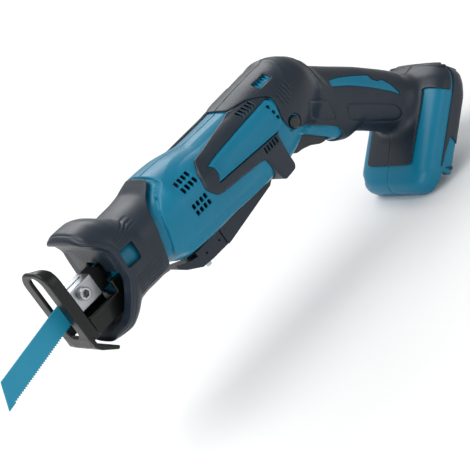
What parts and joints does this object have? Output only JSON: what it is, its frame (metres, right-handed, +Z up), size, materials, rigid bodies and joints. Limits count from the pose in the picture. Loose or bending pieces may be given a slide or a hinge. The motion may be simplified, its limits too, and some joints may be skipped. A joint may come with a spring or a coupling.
{
  "type": "reciprocating saw",
  "caption": "Compact one-handed battery reciprocating saw: loop shoe, screw blade clamp, rubber nose, trigger handle and slide-on battery foot.",
  "frame": {"origin": "where the plunger's axis meets the front plane of the shoe", "axes": "+X along the plunger from the blade to the rear, +Y to the tool's right, +Z up"},
  "size_m": [0.4099, 0.078, 0.1612],
  "materials": {
    "teal_plastic": "satin moulded",
    "rubber": "fine matt grain",
    "black_plastic": "satin moulded",
    "black_steel": "black oxide",
    "bright_steel": "machined",
    "teal_paint": "smooth paint",
    "cast_alloy": "as cast",
    "copper": "enamelled or bare copper",
    "bronze": "sintered"
  },
  "bodies": {
    "tool": {"housing_left": "teal_plastic", "housing_right": "teal_plastic", "grip_cover_left": "rubber", "grip_cover_right": "rubber", "side_frame_left": "rubber", "side_frame_right": "rubber", "badge_plate_left": "teal_plastic", "badge_plate_right": "teal_plastic", "foot_trim_left": "rubber", "foot_trim_right": "rubber", "nose_cover": "rubber", "housing_screws": "bright_steel", "belly_strip": "rubber", "wrench_clip": "rubber", "gear_case": "cast_alloy", "gear_case_cover": "cast_alloy", "cover_screws": "bright_steel", "front_bush": "bronze", "rear_bush": "bronze", "dust_seal": "rubber", "shoe": "black_steel", "shoe_screws": "bright_steel", "crank_bearing": "bright_steel", "front_bearing": "bright_steel", "rear_bearing": "bright_steel", "motor_can": "bright_steel", "magnets": "black_steel", "motor_end_cap": "black_plastic", "brush_holders": "bronze", "carbon_brushes": "black_steel", "switch_body": "black_plastic", "trigger_pin": "bright_steel", "trigger_spring": "bright_steel", "terminal_block": "black_plastic", "battery_terminals": "bronze", "battery_leads": "copper", "motor_leads": "copper"},
    "plunger_group": {"plunger": "black_steel", "blade_clamp": "bright_steel", "clamp_bolt": "bright_steel", "blade": "teal_paint"},
    "crank": {"crank_gear": "bright_steel", "crank_pin": "bright_steel", "crank_roller": "bright_steel"},
    "armature": {"pinion": "bright_steel", "motor_shaft": "bright_steel", "fan": "black_plastic", "armature_core": "bright_steel", "armature_windings": "copper", "commutator": "copper"},
    "trigger": {"trigger": "black_plastic"},
    "lock_off": {"lock_off_button": "black_plastic"},
    "wrench": {"hex_wrench": "bright_steel"}
  },
  "joints": [
    {"name": "crank_turn", "type": "hinge", "parent": "tool", "child": "crank", "pos_m": [0.105, 0, -0.006], "axis": [0, 1, 0], "range_deg": [-90, 90]},
    {"name": "plunger_slide", "type": "slide", "parent": "tool", "child": "plunger_group", "axis": [1, 0, 0], "range_m": [-0.0065, 0.0065]},
    {"name": "motor_spin", "type": "hinge", "parent": "tool", "child": "armature", "pos_m": [0.135, 0.0038, -0.006], "axis": [1, 0, 0], "range_deg": [-450, 450]},
    {"name": "trigger_pull", "type": "hinge", "parent": "tool", "child": "trigger", "pos_m": [0.23778, 0, -0.03788], "axis": [0, 1, 0], "range_deg": [0, 8], "stiffness_Nm_per_rad": 0.5},
    {"name": "lock_off_slide", "type": "slide", "parent": "tool", "child": "lock_off", "axis": [0, 1, 0], "range_m": [0, 0.004]},
    {"name": "wrench_slide", "type": "slide", "parent": "tool", "child": "wrench", "axis": [-0.9942, 0, -0.108], "range_m": [0, 0.04]}
  ],
  "couplings": [
    {"joint": "plunger_slide", "follows": "crank_turn", "m_per_rad": 0.004138},
    {"joint": "motor_spin", "follows": "crank_turn", "ratio": -5}
  ]
}
